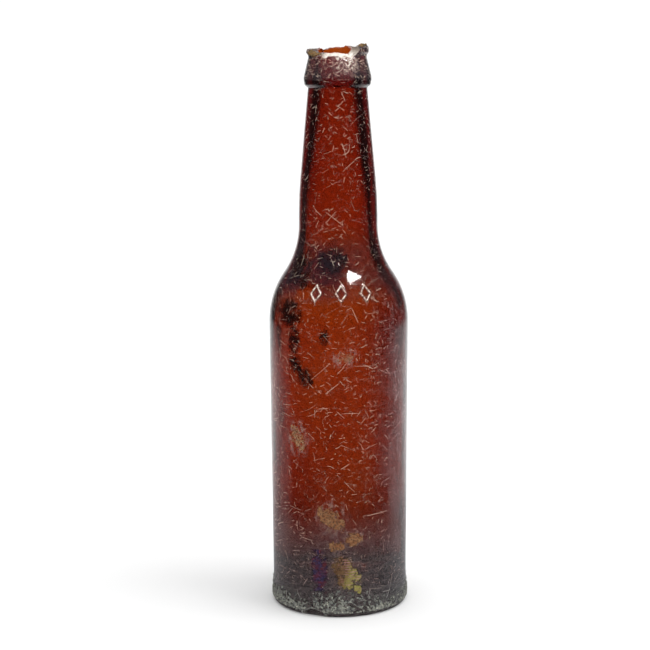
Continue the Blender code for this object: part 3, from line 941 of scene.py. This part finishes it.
def pale_stage():
    """Matt white studio board, with darker parts that only reflections and refractions see.

    They see it only as wide as a backdrop, with a dark room round it. What the glass mirrors in front of
    the bottle is dark, and what it refracts is dark only near the bottle, so that the bottle isn't black
    from behind. Close behind the bottle they see it darker, as a painted shadow of the bottle.
    """
    t = Tree("studio_board")
    path = t.add("ShaderNodeLightPath").outputs
    side, depth, _ = t.separate(t.place)
    aside = t.step(t.maths("ABSOLUTE", side), 0.28, 0.84)
    in_front = t.step(depth, 0.02, -0.04)
    refracted = t.maths("SUBTRACT", in_front, t.step(depth, -0.10, -0.30, 0.0, 0.75))
    mirrored = t.maths("SUBTRACT", in_front, path["Is Transmission Ray"], clamp=True)
    white = t.mix(t.cloud(0.4, 2.0), (0.93, 0.93, 0.93), (0.91, 0.91, 0.91))
    # Painted shadow: reflections and refractions see the board darker close behind the bottle
    seen = t.mix(t.step(depth, 0.32, 0.0), (0.88, 0.88, 0.88), (0.36, 0.36, 0.37))
    seen = t.mix(t.most(aside, refracted, mirrored), seen, (0.065, 0.055, 0.060))
    colour = t.mix(path["Is Glossy Ray"], white, seen)
    return t.surface(Base_Color=colour, Roughness=0.9, Specular_IOR_Level=0.0)


# ---------------------------------------------------------------- studio


def studio():
    """A sweep of white board: a floor that curves up into a wall behind the bottle."""
    half_width, front, floor_end, bend, wall_height = 3.0, -3.0, 0.84, 0.25, 1.6
    turns = 12

    def fill(bm):
        profile = [(front, 0.0), (-0.6, 0.0), (0.4, 0.0), (floor_end, 0.0)]
        for s in range(1, turns + 1):
            a = math.pi / 2 * s / turns
            profile.append((floor_end + bend * math.sin(a), bend * (1 - math.cos(a))))
        profile.append((floor_end + bend, wall_height))
        left, right = ([bm.verts.new((x, y, z)) for y, z in profile] for x in (-half_width, half_width))
        for k in range(len(profile) - 1):
            bm.faces.new((left[k], right[k], right[k + 1], left[k + 1]))

    add_piece("studio_sweep", fill, pale_stage())


def world():
    """An even white room, which reflections see as a dim one."""
    room, reflected_room = (1.07, 1.07, 1.07, 1), (0.05, 0.05, 0.05, 1)
    made = bpy.data.worlds.new("room")
    made.use_nodes = True
    tree = made.node_tree
    rays = tree.nodes.new("ShaderNodeLightPath")
    tone = tree.nodes.new("ShaderNodeMix")
    tone.data_type = "RGBA"
    tone.inputs[6].default_value = room
    tone.inputs[7].default_value = reflected_room
    tree.links.new(rays.outputs["Is Glossy Ray"], tone.inputs[0])
    tree.links.new(tone.outputs[2], tree.nodes["Background"].inputs["Color"])
    bpy.context.scene.world = made


def lamp(name, target, direction, distance, size, power, hidden_from):
    """A rectangular lamp that faces the target from that direction."""
    data = bpy.data.lights.new(name, "AREA")
    data.shape = "RECTANGLE"
    data.size, data.size_y = size
    data.energy = power
    made = bpy.data.objects.new(name, data)
    heading = Vector(direction).normalized()
    made.location = Vector(target) + heading * distance
    made.rotation_euler = heading.to_track_quat("Z", "Y").to_euler()
    for rays in hidden_from:
        setattr(made, "visible_" + rays, False)
    bpy.context.scene.collection.objects.link(made)


def lights():
    """A window, which only reflections see, as on the shoulder, and a soft lamp at the upper right."""
    shoulder, window = (0.006, -0.022, 0.1472), (0.4000, -0.3700, 0.8385)
    lamp("window_glint", shoulder, window, 0.9, (0.36, 0.14), 5.0, ("diffuse", "transmission"))
    lamp("key", (0, 0, 0.1), (0.75, -0.25, 0.9), 1.4, (0.9, 0.9), 7.0, ("glossy", "transmission"))


def camera():
    data = bpy.data.cameras.new("camera")
    data.lens = CAMERA_LENS
    data.sensor_width = 36.0
    made = bpy.data.objects.new("camera", data)
    made.matrix_world = (
        Matrix.Translation((0, -CAMERA_DISTANCE, CAMERA_HEIGHT))
        @ Matrix.Rotation(CAMERA_YAW, 4, "Z")
        @ Matrix.Rotation(math.pi / 2 - CAMERA_PITCH, 4, "X")
        @ Matrix.Rotation(CAMERA_ROLL, 4, "Z")
    )
    bpy.context.scene.collection.objects.link(made)
    bpy.context.scene.camera = made


# ---------------------------------------------------------------- pieces


def residues():
    """Dried dark residue inside. Each row gives tilt in degrees, raggedness and the size of its clouds."""
    colours = (0.060, 0.050, 0.060), (0.10, 0.065, 0.062), (0.15, 0.085, 0.055)
    char = deposit("char", colours, 0.003, alpha=0.86, least=0.35, reach=0.8)
    rows = [
        ("shoulder_residue_front", 10, 1.3, 0.0030),
        ("shoulder_residue_left", -25, 1.3, 0.0030),
        ("wall_residue_upper", -12, 1.4, 0.0026),
        ("wall_residue_outer_streak", 0, 1.4, 0.0022),
        ("wall_residue_inner_streak", 5, 1.3, 0.0022),
        ("residue_flake_upper", -38, 1.3, 0.0016),
        ("residue_flake_lower", -34, 1.3, 0.0016),
        ("residue_flake_small", 0, 1.3, 0.0014),
    ]
    for node, tilt, ragged, grain in rows:
        wall_deposit(node, char, "inner", tilt, 0.0004, ragged, grain)


def films():
    """A pale film high on the wall, and a tan smear at its left."""
    colours = (0.28, 0.14, 0.07), (0.34, 0.20, 0.11), (0.20, 0.09, 0.04)
    film = deposit("film", colours, 0.002, alpha=0.35, least=0.2, reach=0.8)
    wall_deposit("pale_film_upper", film, "outer", 0, 0.0001, 1.0, 0.0015)
    colours = (0.28, 0.15, 0.07), (0.36, 0.23, 0.12), (0.20, 0.09, 0.04)
    smear = deposit("smear", colours, 0.002, alpha=0.65, least=0.2, reach=0.7)
    wall_deposit("soil_smear_left", smear, "outer", -25, 0.0002, 1.1, 0.0018)


def wall_soil():
    """Ochre soil low on the wall, olive crust and iridescent scale."""
    colours = (0.21, 0.085, 0.035), (0.27, 0.14, 0.065), (0.11, 0.045, 0.022)
    ochre = deposit("ochre", colours, 0.0022, alpha=0.9, least=0.5, reach=0.4)
    wall_deposit("ochre_soil_streak", ochre, "outer", -38, 0.0003, 0.9, 0.0022, fullness=0.95)
    wall_deposit("ochre_soil_tail", ochre, "outer", 0, 0.0003, 0.9, 0.0018, fullness=0.95)
    wall_deposit("ochre_soil_lower", ochre, "outer", 0, 0.0003, 1.1, 0.0016, fullness=0.95)
    wall_deposit("olive_crust", olive_scale(), "outer", -25, 0.0003, 0.9, 0.003)
    wall_deposit("iridescent_scale", iridescent(), "outer", 0, 0.0001, 1.2, 0.0022, fullness=1.0)


def lip_soil():
    """Soil packed on the broken lip. The numbers are half spans in degrees."""
    colours = (0.26, 0.125, 0.038), (0.12, 0.085, 0.03), (0.36, 0.21, 0.09)
    soil = deposit("soil", colours, 0.0015, grains=(0.45, 0.33, 0.19), least=1.0)
    lip_deposit("lip_soil_left", soil, 27)
    lip_deposit("lip_soil_right", soil, 18)


def heel_crust():
    colours = (0.11, 0.115, 0.115), (0.26, 0.26, 0.225), (0.05, 0.05, 0.057)
    heel_deposit(deposit("mineral", colours, 0.0011, grains=(0.66, 0.66, 0.52), least=0.6, reach=0.5))


def main():
    glass_body()
    residues()
    films()
    wall_soil()
    lip_soil()
    heel_crust()
    studio()
    world()
    lights()
    camera()
    bpy.context.scene.view_settings.view_transform = "Standard"


main()
